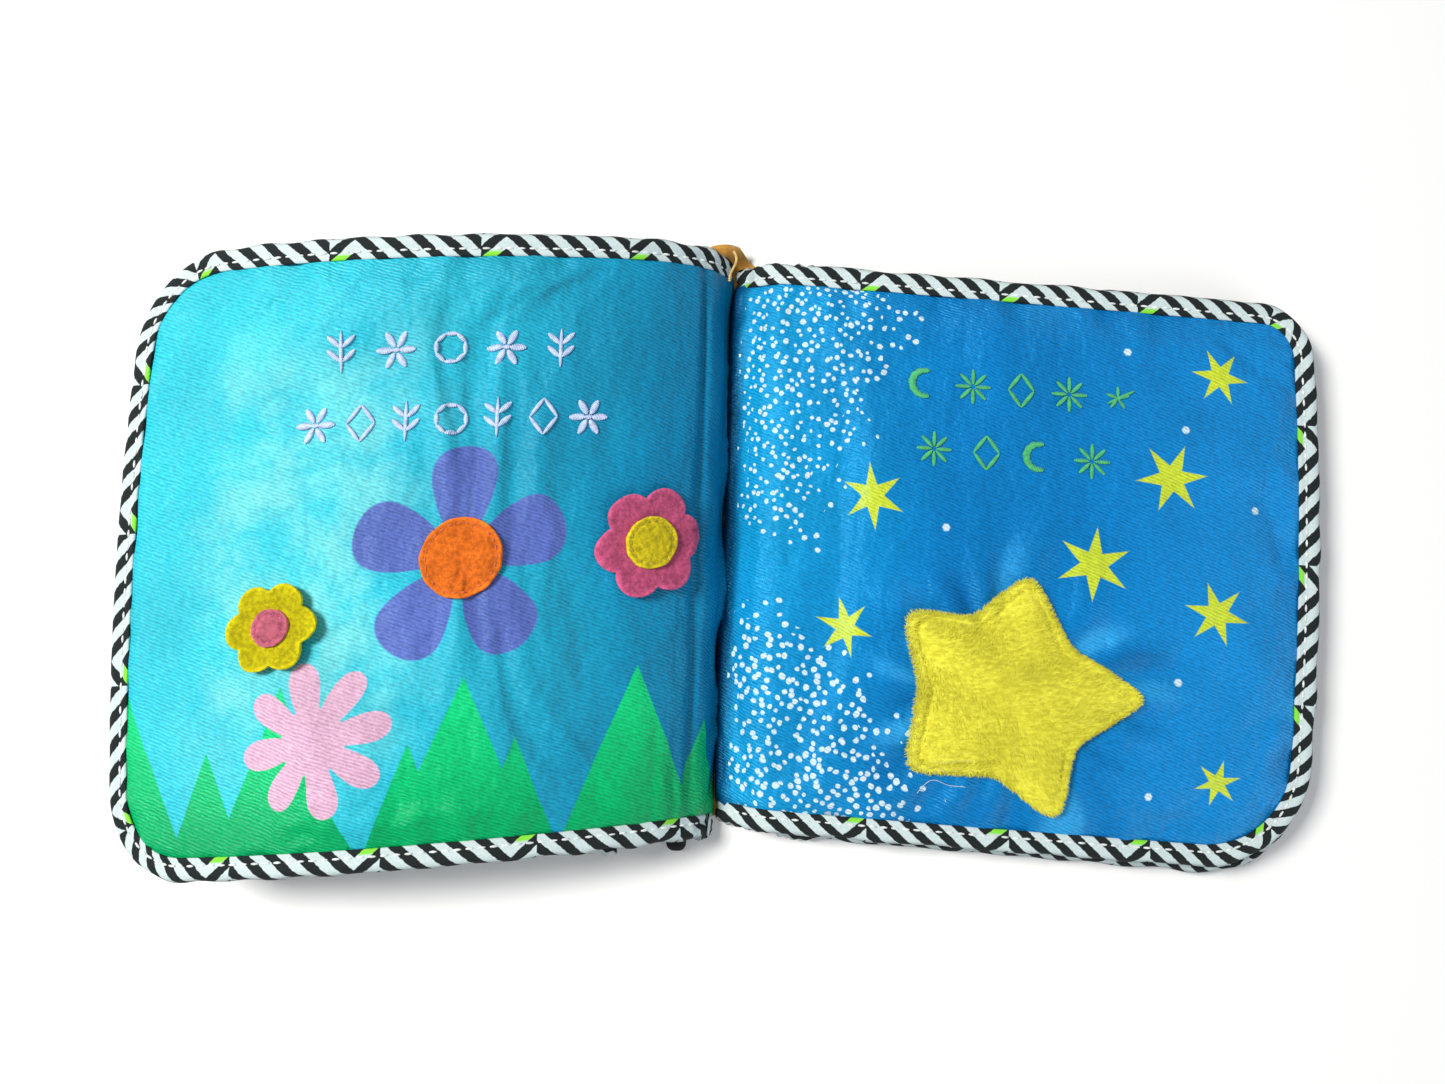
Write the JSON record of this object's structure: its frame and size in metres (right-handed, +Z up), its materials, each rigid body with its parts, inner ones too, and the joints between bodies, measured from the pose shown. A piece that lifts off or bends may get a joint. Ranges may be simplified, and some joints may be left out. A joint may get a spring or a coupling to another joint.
{
  "type": "soft book",
  "caption": "Padded cloth picture book lying open, with bound satin pages, felt flowers and a plush star; the front half closes over the back half.",
  "frame": {"origin": "middle of the spine strip's underside, on the surface that the open book lies on", "axes": "+X across the spread to the right page, +Y up the page along the spine, +Z up"},
  "size_m": [0.337, 0.1847, 0.0402],
  "materials": {
    "blue_satin": "printed polyester satin with a soft sheen",
    "sky_satin": "printed polyester satin with a soft sheen",
    "striped_tape": "woven cotton tape in black and white stripes",
    "orange_felt": "matt wool felt",
    "pink_felt": "matt wool felt",
    "mustard_felt": "matt wool felt",
    "yellow_felt": "matt wool felt",
    "yellow_plush": "short soft pile",
    "gold_cotton": "plain woven cotton"
  },
  "bodies": {
    "back_half": {"back_cover": "blue_satin", "back_cover_binding": "striped_tape", "right_pages": "blue_satin", "right_page_binding": "striped_tape", "plush_star": "yellow_plush", "spine_strip": "gold_cotton"},
    "front_half": {"front_cover": "blue_satin", "front_cover_binding": "striped_tape", "left_pages": "sky_satin", "left_page_bindings": "striped_tape", "orange_felt_disc": "orange_felt", "pink_felt_flower": "pink_felt", "mustard_felt_disc": "mustard_felt", "yellow_felt_flower": "yellow_felt", "pink_felt_disc": "pink_felt"}
  },
  "joints": [
    {"name": "front_cover_hinge", "type": "hinge", "parent": "back_half", "child": "front_half", "pos_m": [0, 0, 0.02871], "axis": [0, 1, 0], "range_deg": [0, 180]}
  ]
}
